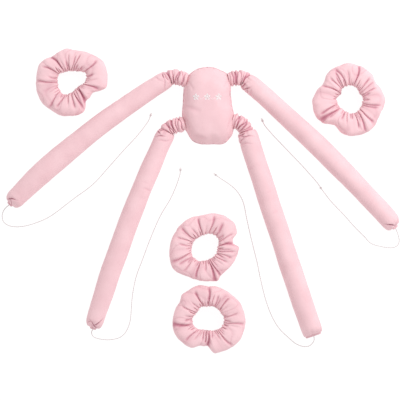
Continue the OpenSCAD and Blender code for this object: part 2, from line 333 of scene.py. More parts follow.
# The routes of the CAD model's cords in plan, end hem to end knot
CORD_ROUTES = [
    [(-319, -158), (-325, -163), (-330, -169), (-332, -178), (-329, -187), (-319, -193),
     (-302, -194), (-281, -189), (-254, -177), (-218, -150), (-186, -126), (-162, -100),
     (-138, -73), (-114, -47), (-98, -26), (-93, -15)],
    [(-185, -358), (-188, -364), (-185, -371), (-174, -375), (-158, -376), (-142, -372),
     (-132, -362), (-126, -346), (-124, -327), (-122, -303), (-116, -274), (-106, -247),
     (-94, -215), (-78, -178), (-62, -151), (-52, -129), (-46, -111), (-45, -103)],
    [(169, -369), (170, -375), (168, -381), (162, -386), (153, -387), (140, -382), (126, -370),
     (114, -358), (102, -338), (92, -311), (84, -279), (78, -250), (70, -218), (62, -183),
     (56, -155), (46, -137), (34, -126), (22, -118), (12, -111)],
    [(300, -195), (303, -202), (306, -210), (307, -219), (302, -226), (292, -228), (278, -226),
     (262, -221), (250, -209), (234, -193), (218, -175), (198, -154), (181, -132), (174, -122),
     (150, -95), (126, -70), (106, -49), (92, -33), (87, -24)],
]
CORD_DROPS = [(6, 5, 2), (6, 4.5, 2), (6, 4.5, 2), (6, 4.5, 2)]  # heights of the first three points
MID_KNOT = {"right_outer": 12}  # the point of the route that carries a second knot
ROUTE_PARTS = 12  # points to each span of a route
CORD_SIDES = 10
CORD_STEP = 0.5
CORD_TWIST = 3.2  # length of one turn of the cord's two strands
CORD_WAIST = 0.12  # how much of its radius the cord loses between its strands
KNOT_SIZE = 0.92  # scale of a knot's loops, which makes it about 4.6 mm across
KNOT_SQUASH = np.array([0.62, 0.52, 0.95])
KNOT_GAP = 0.35  # radians left open at a knot's two ends
KNOT_STEP = 0.35
FRAY_STRANDS = (-1, 0, 1)
FRAY_LENGTH, FRAY_SPREAD = 4.6, 0.9
FRAY_HEIGHTS = [1.0, 0.75, 0.45]


def twisted(line, radius):
    """Rings of a two-strand twisted cord, and painted shade down between its strands."""
    _, left, up = line_frames(line)
    run = run_of(line)
    a = circle_of(CORD_SIDES)[0]
    wave = np.cos(2 * (a[None] - run[:, None] * TURN / CORD_TWIST / 2))
    r = radius * (1 - CORD_WAIST + CORD_WAIST * wave)
    rings = line[:, None] + r[..., None] * spokes(left, up, a)
    # painted shade where the cord narrows between its strands
    return rings, np.clip(0.5 - 0.5 * wave, 0, 1) * 0.5


def knot_line(at, heading, lift):
    """An overhand knot drawn tight round a point, lying along a heading."""
    t = np.linspace(KNOT_GAP, TURN - KNOT_GAP, 90)
    local = np.stack(
        [np.sin(t) + 2 * np.sin(2 * t), np.cos(t) - 2 * np.cos(2 * t), -np.sin(3 * t)], axis=1
    )
    local = local[:, [1, 0, 2]] * KNOT_SQUASH * KNOT_SIZE
    heading = unit(np.array([heading[0], heading[1], 0.0]))
    left = np.array([-heading[1], heading[0], 0.0])
    line = local[:, :1] * heading + local[:, 1:2] * left
    line[:, 2] = local[:, 2]
    line[:, 2] -= line[:, 2].min()
    return line + np.array([at[0], at[1], lift])


def cord_pieces(name, plan, drop):
    route = np.column_stack([plan, np.append(drop, [LIE] * (len(plan) - len(drop)))])
    line = spaced(catmull(route, ROUTE_PARTS), CORD_STEP)
    skin = Skin()
    rings, painted_shade = twisted(line, CORD_DIAMETER / 2)
    skin.tube(rings, painted_shade)
    cord = skin.piece(f"{name}_cord", cord_cloth)
    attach(cord, f"{name}_arm")
    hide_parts(f"{name}_tie_cord")

    skin = Skin()
    spots = [(line[-1], line[-1] - line[-6])]
    if name in MID_KNOT:
        at = route[MID_KNOT[name]]
        k = int(np.argmin(np.linalg.norm(line - at, axis=1)))
        spots.append((line[k], line[k + 3] - line[k - 3]))
    for at, heading in spots:
        body = knot_line(at, heading, CORD_DIAMETER / 2)
        rings, painted_shade = twisted(spaced(body, KNOT_STEP), CORD_DIAMETER / 2)
        skin.tube(rings, painted_shade)
    at, heading = spots[0][0], unit(spots[0][1] * [1, 1, 0])
    for side in FRAY_STRANDS:  # frayed end of the cord past its knot
        left = np.array([-heading[1], heading[0], 0])
        tip = at + heading * FRAY_LENGTH + left * FRAY_SPREAD * side
        ends = np.array([at + heading * 1.2, (at + tip) / 2 + left * 0.5 * side, tip])
        ends[:, 2] = FRAY_HEIGHTS
        strand = spaced(catmull(ends, 6), 0.4)
        skin.tube(round_rings(strand, np.linspace(0.42, 0.28, len(strand)), 6))
    knot = skin.piece(f"{name}_knot", cord_cloth)
    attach(knot, f"{name}_arm")
    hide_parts(f"{name}_cord_knot")


for cord_plan in zip(ARMS, CORD_ROUTES, CORD_DROPS):
    cord_pieces(*cord_plan)

# ---------- the set's own lines
SEAM_HEIGHT = 17.0
PAD_HEIGHT = 44.0
PAD_MIDDLE = np.array([-1.0, 0.0])
# The pad's seam in plan, up to 2.5 mm inside or outside the CAD model's
PAD_OUTLINE = [
    (3, 61.4), (-16, 59), (-30, 50), (-38, 36), (-40, 20), (-40.9, 2), (-42, -14), (-40, -31),
    (-33.5, -44.6), (-24.7, -56.6), (-11.3, -62.2), (6, -61.4), (22.4, -61.4), (34.8, -52),
    (40, -37), (41, -18), (37.7, 0), (35.3, 19.6), (35.4, 37), (30, 50), (17.8, 57),
]
NECK_FROM = [(-39, 42), (-43, -30), (43, -25), (37, 43)]
NECK_OUT = [(-1, 0.25), (-1, -0.3), (1, -0.3), (1, 0.15)]
ARM_FROM = [(-64, 44), (-67, -42), (61, -42), (60, 41)]
ARM_TO = [(-318, -157), (-185, -356), (168, -367), (299, -194)]
ARM_BOW = [-9, -6, -1, 5.5]
ARM_RADII = [
    (14.5, 15.7, 17, 18, 15), (15, 15.8, 16.3, 16.2, 14), (16.4, 16.6, 16.7, 17.1, 16.4),
    (15, 15.6, 16.8, 15.8, 15.2),
]
ARM_SIDES = 72
ARM_STEP = 1.5
LYING = math.cos(math.pi / 16)  # the CAD model's arms lie on their lowest flats
HEM_HALF = [6, 6, 13, 6]
HEM_LENGTH, HEM_TUCK = 7.0, 4.0


def arm_middle(i, t):
    """Middle line of an arm in plan at shares t of its length, past its ends too."""
    a, b = np.array(ARM_FROM[i], float), np.array(ARM_TO[i], float)
    way = unit(b - a)
    bend = (a + b) / 2 + 2 * ARM_BOW[i] * np.array([-way[1], way[0]])
    t = np.asarray(t, float)[..., None]
    return a * (1 - t) ** 2 + bend * 2 * t * (1 - t) + b * t**2


def arm_heading(i, t):
    return unit(arm_middle(i, t + 0.01) - arm_middle(i, t - 0.01))


def arm_radius(i, t):
    """Radius of an arm at shares t of its length, smoothed over its five stations."""
    fine = catmull([(r,) for r in ARM_RADII[i]], 16)[:, 0]
    return np.interp(t, np.linspace(0, 1, len(fine)), fine)


def arm_height(i, t):
    return arm_radius(i, t) * LYING


# ---------- stitching
STITCH_RISE = np.array([-1.4, 0.2, 0.7, 0.2, -1.4])  # of a stitch's five points, in radii
STITCH_GIRTH = np.array([0.7, 1, 1, 1, 0.7])


def stitches(skin, line, normals, length, gap, radius):
    """A row of short threads that dip into the cloth at both ends."""
    run = run_of(line)
    count = int(run[-1] // (length + gap))
    for k in range(count):
        at = k * (length + gap) + gap / 2 + np.linspace(0, length, 5)
        spots = np.stack([np.interp(at, run, line[:, c]) for c in range(3)], axis=1)
        ways = np.stack([np.interp(at, run, normals[:, c]) for c in range(3)], axis=1)
        lift = radius * STITCH_RISE
        skin.tube(round_rings(spots + unit(ways) * lift[:, None], radius * STITCH_GIRTH, 6))


# ---------- crown pad
PAD_INSET = 0.3  # the cloth lies this far inside the outline
PAD_SHRINK = 2.0  # the simulation starts from a pad smaller by this
PAD_SIDES = 120
# The starting pad's rings, as shares of the way out: up the underside, then back over the top
UNDER_SHARES = (0.05, 0.3, 0.6, 0.8, 0.9, 0.96, 0.99)
OVER_SHARES = (0.985, 0.95, 0.88, 0.78, 0.62, 0.45, 0.25, 0.05)
PAD_VOXEL = 2.6
PAD_CAP = 6.0  # the furthest that the simulation may move a point
PAD_LEVELS = 2
CLOTH_PRESSURE, CLOTH_MASS, CLOTH_FRAMES = 4.0, 0.2, 20
# Where the simulated pad is drawn out to its seam: share of the way out, over what share, half
# height round the seam, and how much of the way it is drawn
EDGE_FROM, EDGE_OVER, EDGE_HEIGHT, EDGE_PULL = 0.68, 0.2, 5.0, 0.9
GROOVE_HALF, GROOVE_DEPTH = 1.1, 0.8  # the seam's groove
PUCKER_HEIGHT = 0.75
PAD_BULGE = 0.8  # how far the filling may stand over the CAD model's height
# amounts of painted shade in the seam's groove, the puckers' hollows and the creases
GROOVE_PAINTED_SHADE, PUCKER_PAINTED_SHADE, CREASE_PAINTED_SHADE = 0.35, 0.25, 0.12


def pad_reach(angle):
    """Distance from the pad's middle to its seam, at an angle."""
    edge = catmull(PAD_OUTLINE, 12, closed=True) - PAD_MIDDLE
    a = np.arctan2(edge[:, 1], edge[:, 0])
    order = np.argsort(a)
    return np.interp(angle, a[order], np.linalg.norm(edge, axis=1)[order], period=TURN) - PAD_INSET


def dome(s):
    return SEAM_HEIGHT + (PAD_HEIGHT - SEAM_HEIGHT) * (1 - np.clip(s, 0, 1) ** 4) ** 0.45


def under(s):
    return SEAM_HEIGHT * (1 - (1 - np.clip(s, 0, 1) ** 9) ** 0.4)


def pad_start():
    """Closed pad a little smaller than the finished one, as rings from its underside to its top."""
    angle = np.arange(PAD_SIDES) / PAD_SIDES * TURN
    reach = pad_reach((angle + math.pi) % TURN - math.pi) - PAD_SHRINK
    levels = [(s, under(s) + PAD_SHRINK) for s in UNDER_SHARES]
    levels.append((1.0, SEAM_HEIGHT))
    levels += [(s, dome(s) - PAD_SHRINK) for s in OVER_SHARES]
    rings = []
    for s, z in levels:
        x = PAD_MIDDLE[0] + reach * s * np.cos(angle)
        y = PAD_MIDDLE[1] + reach * s * np.sin(angle)
        rings.append(np.stack([x, y, np.full(PAD_SIDES, z)], axis=1))
    return np.stack(rings)


def apply_modifiers(obj):
    mesh = bpy.data.meshes.new_from_object(obj.evaluated_get(bpy.context.evaluated_depsgraph_get()))
    obj.modifiers.clear()
    old, obj.data = obj.data, mesh
    bpy.data.meshes.remove(old)


def points_of(obj):
    co = np.empty(len(obj.data.vertices) * 3, np.float32)
    obj.data.vertices.foreach_get("co", co)
    return co.reshape(-1, 3).astype(float) / MM


def move_points(obj, points):
    obj.data.vertices.foreach_set("co", (points * MM).astype(np.float32).ravel())
    obj.data.update()


def normals_of(obj):
    no = np.empty(len(obj.data.vertices) * 3, np.float32)
    obj.data.vertex_normals.foreach_get("vector", no)
    return no.reshape(-1, 3).astype(float)


def stuff(obj, voxel, cap, levels):
    """Fills a closed form like a cushion: even mesh, cloth under pressure, then a finer surface."""
    remesh = obj.modifiers.new("even", "REMESH")
    remesh.mode, remesh.voxel_size = "VOXEL", voxel * MM
    bpy.context.view_layer.update()
    apply_modifiers(obj)
    before = points_of(obj)
    cloth = obj.modifiers.new("cloth", "CLOTH")
    cloth.settings.use_pressure = True
    cloth.settings.uniform_pressure_force = CLOTH_PRESSURE
    cloth.settings.effector_weights.gravity = 0
    cloth.settings.mass = CLOTH_MASS
    cloth.point_cache.frame_start, cloth.point_cache.frame_end = 1, CLOTH_FRAMES
    for f in range(1, CLOTH_FRAMES + 1):
        bpy.context.scene.frame_set(f)
    apply_modifiers(obj)
    bpy.context.scene.frame_set(1)
    shift = points_of(obj) - before
    far = np.linalg.norm(shift, axis=1, keepdims=True)
    move_points(obj, before + shift * np.minimum(1, cap / np.maximum(far, 1e-6)))
    finer = obj.modifiers.new("finer", "SUBSURF")
    finer.levels = finer.render_levels = levels
    apply_modifiers(obj)


def pad_edge_wave(angle):
    """Slight waves of the seam in and out, stronger along the lower edge."""
    low = smoothstep((-np.sin(angle) - 0.1) / 0.6)
    return hum(around_at(angle) * 50, 14, 11) * (0.25 + 0.75 * low)


# Soft creases on the pad's top where the necks pull at it: from, to, depth and half width
PAD_CREASES = [
    ((-40, -2), (-12, -11), 1.5, 4.5), ((-39, -14), (-29, -46), 1.5, 2.2),
    ((-27, -48), (-2, -55), 1.0, 2.6), ((39, -12), (30, -42), 1.0, 2.4),
    ((-34, 40), (-24, 22), 0.9, 2.6), ((32, 42), (24, 26), 0.8, 2.6),
]


def pad_creases(p):
    """Depth of the pad's creases at points of its surface."""
    depth = np.zeros(len(p))
    for start, end, deep, wide in PAD_CREASES:
        a, way = np.array(start, float), np.array(end, float) - start
        along = np.clip((p[:, :2] - a) @ way / (way @ way), 0, 1)
        off = np.linalg.norm(p[:, :2] - a - along[:, None] * way, axis=1)
        depth = np.maximum(depth, deep * np.sin(along * math.pi) ** 0.6 * bell(off / wide))
    return depth * smoothstep((p[:, 2] - SEAM_HEIGHT) / 4)


def make_pad():
    skin = Skin()
    skin.tube(pad_start())
    pad = skin.piece("crown_pad", pad_cloth)
    stuff(pad, PAD_VOXEL, PAD_CAP, PAD_LEVELS)
    p = points_of(pad)
    n = normals_of(pad)
    flat = p[:, :2] - PAD_MIDDLE
    angle = np.arctan2(flat[:, 1], flat[:, 0])
    reach = pad_reach(angle)
    share = np.linalg.norm(flat, axis=1) / reach
    # The finished form: the simulated one, drawn to the seam's line and to the underside's flat
    from_seam = np.abs(p[:, 2] - SEAM_HEIGHT)
    near_edge = smoothstep((share - EDGE_FROM) / EDGE_OVER)
    pull = near_edge * bell(from_seam / EDGE_HEIGHT)
    goal = PAD_MIDDLE + flat / np.maximum(share, 1e-6)[:, None]
    p[:, :2] += (goal - p[:, :2]) * (pull * EDGE_PULL)[:, None]
    # Puckers that run in from the seam, and a soft unevenness of the filling
    pucker = hum(around_at(angle) * 50, 7, 21) * np.exp(-from_seam / 7)
    pucker = pucker * smoothstep((share - 0.72) / 0.25)
    uneven = hum(p, 42, 5) * 0.55 + hum(p, 18, 6) * 0.18
    crease = pad_creases(p)
    p += n * (pucker * PUCKER_HEIGHT + uneven - crease)[:, None]
    groove = bell((p[:, 2] - SEAM_HEIGHT) / GROOVE_HALF) * smoothstep((share - 0.9) / 0.1)
    p += n * (-GROOVE_DEPTH * groove)[:, None]
    wave = pad_edge_wave(angle) * pull
    p[:, :2] += unit(flat) * wave[:, None]
    p[:, 2] = np.maximum(p[:, 2], 0.15 + 0.1 * hum(p[:, :2], 25, 8))
    p[:, 2] = np.minimum(p[:, 2], PAD_HEIGHT + PAD_BULGE)
    move_points(pad, p)
    # painted shade: darker colour in the seam's groove, the puckers' hollows and the creases
    depth = pad.data.attributes.get("painted_shade") or pad.data.attributes.new("painted_shade", "FLOAT", "POINT")
    painted_shade = groove * GROOVE_PAINTED_SHADE + np.clip(-pucker, 0, 1) * PUCKER_PAINTED_SHADE + crease * CREASE_PAINTED_SHADE
    depth.data.foreach_set("value", np.clip(painted_shade, 0, 1).astype(np.float32))
    pad.data.polygons.foreach_set("use_smooth", [True] * len(pad.data.polygons))
    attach(pad, "pad")
    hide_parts("pad_top_panel", "pad_bottom_panel", "pad_filling")
    return pad


pad = make_pad()
FAR_ABOVE = 200.0


def surface_height(obj):
    """Function that finds the height of a piece's top at a point in plan."""
    tree = BVHTree.FromObject(obj, bpy.context.evaluated_depsgraph_get())

    def at(x, y):
        hit = tree.ray_cast(Vector((x * MM, y * MM, FAR_ABOVE * MM)), Vector((0, 0, -1)))[0]
        return hit.z / MM if hit else PAD_HEIGHT

    return at


def make_pad_seam():
    """The turned edge where the panels are sewn together, with its stitches."""
    edge = catmull(PAD_OUTLINE, 16, closed=True)
    edge = spaced(np.vstack([edge, edge[:1]]), 1.0)[:-1]
    out = edge - PAD_MIDDLE
    angle = np.arctan2(out[:, 1], out[:, 0])
    edge = edge + unit(out) * (pad_edge_wave(angle) * 0.9 - PAD_INSET)[:, None]
    lift = SEAM_HEIGHT + 0.35 * np.sin(angle * 9)
    line = np.column_stack([edge, lift])
    ring = round_rings(line, 0.6 + 0.1 * hum(line, 4, 3), 10, closed=True)
    skin = Skin()
    rows, columns = ring.shape[:2]
    skin.add(ring, grid_faces(rows, columns, close_rows=True))
    seam = skin.piece("pad_seam_edge", seam_cloth)
    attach(seam, "pad")
    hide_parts("pad_seam")
    skin = Skin()
    ways = np.column_stack([unit(out), np.full(len(out), 0.35)])
    for side in (-1, 1):
        row = line + np.column_stack([-unit(out) * 0.15, np.full(len(out), side * 1.05)])
        stitches(skin, row, ways, length=1.9, gap=1.3, radius=0.24)
    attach(skin.piece("pad_seam_stitches", thread), "pad")


make_pad_seam()


FLOWERS = ((-20, 12), (-2, 12), (16, 12))
STEMS = (-11, 7)
PETALS, PETAL_OUT, PETAL_HALF, PETAL_WIDTH = 5, 3.3, 2.15, 0.72
SPIRAL_TURNS, SPIRAL_POINTS = 2, 24


def make_embroidery():
    """A row of stitched flowers on a curling stem, each petal filled with satin stitches."""
    top = surface_height(pad)
    skin = Skin()

    def lay(points, radius, lift):
        points = spaced(np.asarray(points, float), 0.5)
        z = np.array([top(x, y) for x, y in points]) + lift
        skin.tube(round_rings(np.column_stack([points, z]), radius, 6))

    for x, y in FLOWERS:
        for k in range(PETALS):
            a = TURN * k / PETALS + math.pi / 2
            way, left = np.array([math.cos(a), math.sin(a)]), np.array([-math.sin(a), math.cos(a)])
            for j in np.linspace(-1, 1, 9):  # satin stitches across the petal
                half = PETAL_HALF * math.sqrt(max(1 - j * j, 0.05)) * PETAL_WIDTH
                spot = np.array([x, y]) + way * (PETAL_OUT + PETAL_HALF * j)
                lay([spot - left * half, spot + left * half], 0.24, 0.12)
        turn = np.linspace(0, TURN * SPIRAL_TURNS, SPIRAL_POINTS)
        growth = np.linspace(0.2, 1.1, SPIRAL_POINTS)
        spiral = around_at(turn) * growth[:, None]
        lay(spiral + (x, y), 0.28, 0.45)
    for x in STEMS:  # a short stem between each two flowers
        bend = [(x - 3.4, 9.6), (x - 1.2, 8.4), (x + 1.2, 9.2), (x + 3.2, 11.6)]
        lay(catmull(bend, 8), 0.3, 0.15)
    flowers = skin.piece("pad_flowers", white_thread)
    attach(flowers, "pad")
    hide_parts("pad_embroidery")


make_embroidery()

# ---------- necks
NECK_ROUND = 96
NECK_STEP = 0.45
NECK_RADIUS = 12.4
NECK_INTO_PAD, NECK_INTO_ARM = 5.0, 5.0
NECK_DEEPEST = 3.8
NECK_FLATTEST = 0.4  # the lowest that its underside reaches
NECK_NEST = 0.975  # a neck's second piece starts a little inside the first
# Each neck's folds: share of its length, lean round it, how deep, where it is deepest, how wide
NECK_FOLDS = [
    [(0.03, 0.5, 2.8, 80, 1.3), (0.13, -0.8, 2.0, 130, 0.9), (0.24, 0.9, 2.8, 60, 1.1),
     (0.36, -0.4, 2.0, 20, 0.9), (0.46, -0.9, 3.4, 110, 1.2), (0.60, 0.5, 2.8, 20, 1.0),
     (0.70, 1.0, 2.4, 120, 0.9), (0.81, -0.6, 3.2, 70, 1.1), (0.97, 0.3, 3.6, 130, 1.5)],
    [(0.04, -0.8, 3.0, 70, 1.3), (0.15, 0.9, 2.6, 110, 1.0), (0.27, 0.4, 3.0, 60, 1.1),
     (0.41, 0.9, 3.6, 130, 1.2), (0.55, -0.5, 3.0, 140, 1.0), (0.66, 1.0, 2.6, 60, 0.9),
     (0.78, 0.7, 3.6, 100, 1.2), (0.98, -0.4, 3.8, 60, 1.5)],
    [(0.04, 0.8, 3.0, 90, 1.3), (0.16, -0.6, 2.6, 50, 1.0), (0.28, -0.9, 3.2, 120, 1.1),
     (0.40, 0.4, 2.4, 20, 0.9), (0.50, -0.9, 3.4, 120, 1.2), (0.62, 0.7, 3.0, 80, 1.0),
     (0.74, 1.0, 2.6, 140, 0.9), (0.85, 0.5, 3.2, 40, 1.1), (0.98, 0.4, 3.6, 100, 1.5)],
    [(0.04, -0.5, 3.0, 80, 1.3), (0.15, 0.9, 3.2, 100, 1.1), (0.27, -0.5, 2.8, 40, 1.0),
     (0.39, -0.9, 3.4, 80, 1.1), (0.55, 0.6, 3.0, 30, 1.0), (0.66, -1.0, 3.0, 140, 0.9),
     (0.79, -0.5, 3.6, 120, 1.1), (0.97, 0.6, 3.8, 60, 1.5)],
]
NECK_SPLIT = [5, 4, 5, 4]  # the fold where a neck's two pieces meet


def neck_line(i):
    """Middle line of a neck, from inside the pad to inside its arm, shares along it and length."""
    out, head = unit(NECK_OUT[i]), arm_heading(i, 0.0)
    a = np.array(NECK_FROM[i], float)
    d = np.array(ARM_FROM[i], float)
    reach = np.linalg.norm(d - a) / 3
    b, c = a + out * reach, d - head * reach
    t = np.linspace(0, 1, 60)[:, None]
    curve = a * (1 - t) ** 3 + b * 3 * (1 - t) ** 2 * t + c * 3 * (1 - t) * t**2 + d * t**3
    line = np.vstack([a - out * NECK_INTO_PAD, curve, d + head * NECK_INTO_ARM])
    line = spaced(line, NECK_STEP)
    run = run_of(line)
    long = run[-1] - NECK_INTO_PAD - NECK_INTO_ARM
    share = (run - NECK_INTO_PAD) / long
    z = SEAM_HEIGHT + (arm_height(i, 0.0) - SEAM_HEIGHT) * smoothstep(share)
    return np.column_stack([line, z]), share, long


def make_neck(i):
    name = ARMS[i]
    line, share, long = neck_line(i)
    _, left, up = line_frames(line)
    a, around = circle_of(NECK_ROUND)
    depth = np.zeros((len(line), NECK_ROUND))
    crest = np.zeros_like(depth)
    for k, (at, lean, deep, where, wide) in enumerate(NECK_FOLDS[i]):
        wander = hum(around * 10, 16, 100 * i + k) * 1.3 + lean * 2.2 * np.cos(a - 0.7 * k)
        away = (share[:, None] - at) * long - wander[None]
        strength = deep * (0.62 + 0.38 * np.cos(a - math.radians(where)))
        depth += strength[None] * np.exp(-np.abs(away / wide) ** 1.25)
        crest += 0.45 * bell((np.abs(away) - 2.2) / 1.1) * (strength / 3)[None]
    grid = tube_grid(share * long, around, 12)
    fine = hum(grid * [1.6, 0.5, 0.5], 5, 300 + i) * 0.35 + hum(grid, 9, 400 + i) * 0.5
    radius = NECK_RADIUS - np.minimum(depth, NECK_DEEPEST) + crest + fine
    ends = smoothstep(share * long / 3 + 1.2) * smoothstep((1 - share) * long / 3 + 1.4)
    radius *= (0.82 + 0.18 * ends)[:, None]
    rings = line[:, None] + radius[..., None] * spokes(left, up, a)
    rings[..., 2] = np.maximum(rings[..., 2], NECK_FLATTEST)
    # painted shade down in the neck's folds
    painted_shade = np.clip((depth - 0.8) / 2.8, 0, 1) ** 1.2
    split = int(np.argmin(np.abs(share - NECK_FOLDS[i][NECK_SPLIT[i]][0])))
    parts = {"start": (0, split + 3), "end": (split - 2, len(line))}
    out, head = unit(NECK_OUT[i]), arm_heading(i, 0.0)
    pieces = {}
    for part, (first, stop) in parts.items():
        skin = Skin()
        ring = rings[first:stop].copy()
        if part == "end":
            middles = line[first:first + 4, None]
            ring[:4] = middles + (ring[:4] - middles) * NECK_NEST
        skin.tube(ring, painted_shade[first:stop])
        pieces[part] = skin.piece(f"{name}_neck_{part}", neck_cloth)
    arm_edge = np.append(np.array(ARM_FROM[i]) + head * 1.0, arm_height(i, 0.0)) * MM
    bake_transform(pieces["start"])
    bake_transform(pieces["end"])
    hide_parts(f"{name}_neck_root", f"{name}_neck_sleeve")


for arm in range(len(ARMS)):
    make_neck(arm)

# ---------- arms
SHOULDER = 13.0  # length over which an arm's mouth opens to its full width
MOUTH = 0.74  # radius of the mouth as a share of the arm's
TAPER = 15.0  # length over which its far end is drawn in
TAPER_POWER = 2.2
TIP_HEIGHT, TIP_MIDDLE = 0.20, 0.36  # at the tip, as shares of the arm's height and middle height
SEAM_SIDE = [215, 325, 215, 325]  # angle round each arm of its long seam, low on its dark side
SEAM_HALF, SEAM_DEPTH = 0.9, 0.7
FINE_RUN, FINE_ROWS = 24, 60  # finer rows at both ends, where the cloth is gathered
PLEAT_FADE, SMALL_FADE = (9.0, 8.0), (5.0, 6.0)  # how far the gathers run from mouth and tip
PLEAT_DEPTH, SMALL_DEPTH = 1.5, (0.9, 0.6)
SLACK_DEPTH = 1.1
REST_SOFTNESS = 1.5  # height over which the underside flattens on the table
# Creases where each arm bends at its mouth, and where its far end is tucked in: run along it (or
# back from its tip), angle round it, half width in degrees, depth, half width in mm, and lean
ARM_CREASES = [
    [(2, 95, 60, 2.8, 1.1, 2), (6, 130, 26, 3.2, 0.9, -5), (10, 70, 34, 1.5, 1.2, -6),
     (15, 120, 40, 1.0, 1.5, 7), (-7, 108, 26, 4.4, 1.0, 9), (-3, 80, 30, 2.4, 0.9, -7)],
    [(1, 130, 50, 3.0, 1.2, 2), (6, 150, 30, 3.2, 0.9, -5), (11, 115, 24, 2.6, 0.9, 6),
     (15, 80, 50, 1.1, 1.5, 6), (-11, 62, 24, 4.4, 1.0, 16), (-5, 80, 40, 3.2, 1.0, -8),
     (-8, 130, 30, 1.5, 1.2, 6)],
    [(3, 140, 60, 2.8, 1.1, 3), (7, 110, 45, 2.2, 1.1, -4), (13, 160, 40, 2.2, 1.1, 5),
     (18, 120, 40, 1.0, 1.5, -5)],
    [(2, 150, 45, 3.0, 1.1, -3), (6, 165, 30, 3.6, 0.9, 5), (10, 140, 26, 3.2, 0.9, -5),
     (14, 165, 30, 2.0, 1.1, 3), (20, 150, 45, 1.0, 1.6, 5), (-7, 106, 22, 4.6, 1.0, -18),
     (-4, 70, 30, 1.6, 1.0, 6)],
]


def arm_creases(i, run, a):
    """Depth of an arm's creases over its grid."""
    depth = np.zeros((len(run), len(a)))
    for at, where, window, deep, wide, lean in ARM_CREASES[i]:
        off = (a - math.radians(where) + math.pi) % TURN - math.pi
        inside = bell(off / math.radians(window))
        start = at if at >= 0 else run[-1] + at
        away = run[:, None] - start - (lean * off + 0.8 * np.sin(off * 5 + at))[None]
        depth = np.maximum(depth, deep * inside[None] * np.exp(-np.abs(away / wide) ** 1.25))
    return depth


def make_arm(i):
    name = ARMS[i]
    long = float(run_of(arm_middle(i, np.linspace(0, 1, 200)))[-1])
    t = np.linspace(0, 1, int(long / ARM_STEP) + 1)
    ends = np.linspace(0, FINE_RUN / long, FINE_ROWS)[1:-1]
    t = np.sort(np.concatenate([t, ends, 1 - ends]))
    run = t * long
    a, around = circle_of(ARM_SIDES)
    plan, heading = arm_middle(i, t), arm_heading(i, t)
    left = np.column_stack([-heading[:, 1], heading[:, 0], np.zeros(len(t))])
    r = arm_radius(i, t)
    opening = np.clip(run / SHOULDER, 0, 1)
    mouth = MOUTH + (1 - MOUTH) * np.sqrt(1 - (1 - opening) ** 2)
    from_tip = np.clip((long - run) / TAPER, 0, 1)
    hem_share = HEM_HALF[i] / arm_radius(i, 1.0)
    rounding = np.sqrt(1 - (1 - from_tip) ** TAPER_POWER)
    closing_wide = hem_share + (1 - hem_share) * rounding
    closing_high = TIP_HEIGHT + (1 - TIP_HEIGHT) * rounding
    sinking = TIP_MIDDLE + (1 - TIP_MIDDLE) * np.sqrt(1 - (1 - from_tip) ** 2)
    middle = arm_height(i, t) * sinking
    wide = r * mouth * closing_wide
    high = r * mouth * closing_high
    grid = tube_grid(run, around, 16)
    # Gathers that run along the arm from its mouth and from its tip
    pleat = hum(around * 16, 9, 500 + i, waves=20)
    small = hum(around * 16, 5, 520 + i, waves=20)
    from_mouth = np.exp(-run / PLEAT_FADE[0])
    to_tip = np.exp(-(long - run) / PLEAT_FADE[1])
    small_ends = (SMALL_DEPTH[0] * np.exp(-run / SMALL_FADE[0])
                  + SMALL_DEPTH[1] * np.exp(-(long - run) / SMALL_FADE[1]))
    gather = pleat[None] * (PLEAT_DEPTH * from_mouth + PLEAT_DEPTH * to_tip)[:, None]
    gather = gather + small[None] * small_ends[:, None]
    # Uneven stuffing, and slack cloth that creases lightly across the arm
    lump = hum(grid * [0.55, 1, 1], 34, 540 + i) * 0.55 + hum(grid, 15, 560 + i) * 0.16
    crease = np.maximum(hum(grid * [1.0, 0.35, 0.35], 11, 580 + i) - 0.55, 0)
    crease = crease * hum(grid, 60, 590 + i).clip(0, 1)
    seam_away = np.abs((a - math.radians(SEAM_SIDE[i]) + math.pi) % TURN - math.pi) * r.mean()
    seam = bell(seam_away / SEAM_HALF)
    bend = arm_creases(i, run, a)
    puff = gather + lump - SLACK_DEPTH * crease - SEAM_DEPTH * seam[None] - bend
    side = (wide[:, None] + puff)[..., None] * np.cos(a)[None, :, None]
    rise = (high[:, None] + puff) * np.sin(a)[None]
    rings = np.column_stack([plan, np.zeros(len(t))])[:, None] + left[:, None] * side
    z = middle[:, None] + rise
    low = 0.25 + 0.15 * hum(grid, 20, 600 + i)
    rested = low + REST_SOFTNESS * np.exp((z - low - REST_SOFTNESS) / REST_SOFTNESS)
    rings[..., 2] = np.where(z < low + REST_SOFTNESS, rested, z)
    # painted shade in the gathers, along the long seam's groove, in the slack creases and in the
    # bends
    near_end = (0.25 + np.maximum(from_mouth, to_tip))[:, None]
    painted_shade = np.clip(-gather * 0.32, 0, 1) * near_end + 0.5 * seam[None] + crease * 0.35
    painted_shade = np.maximum(painted_shade, np.clip(bend / 2.6, 0, 1) ** 1.2)
    skin = Skin()
    skin.tube(rings, np.clip(painted_shade, 0, 1))
    arm = skin.piece(f"{name}_tube", arm_cloth)
    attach(arm, f"{name}_arm")
    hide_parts(f"{name}_cover", f"{name}_filling")

    k = int(np.argmin(seam_away))
    rows = slice(int(len(t) * 0.08), int(len(t) * 0.94))
    normal = left[rows] * np.cos(a[k]) + np.array([0, 0, 1.0]) * np.sin(a[k])
    skin = Skin()
    stitches(skin, rings[rows, k] + normal * 0.15, normal, length=2.6, gap=1.6, radius=0.26)
    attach(skin.piece(f"{name}_seam_stitches", thread), f"{name}_arm")


HEM_SIDES, HEM_ROWS = 48, 22
HEM_INSIDE = 1.5  # how far its folded end reaches back into the arm
HEM_NARROWING = [0.34, 0.34, 0.06, 0.34]  # towards its end; the right inner one stays square
HEM_SQUARENESS = 0.55  # power that squares its section
HEM_STITCHES = [0.56, 0.80]  # places of the two rows of stitches along it
STITCH_WAIST = 0.13


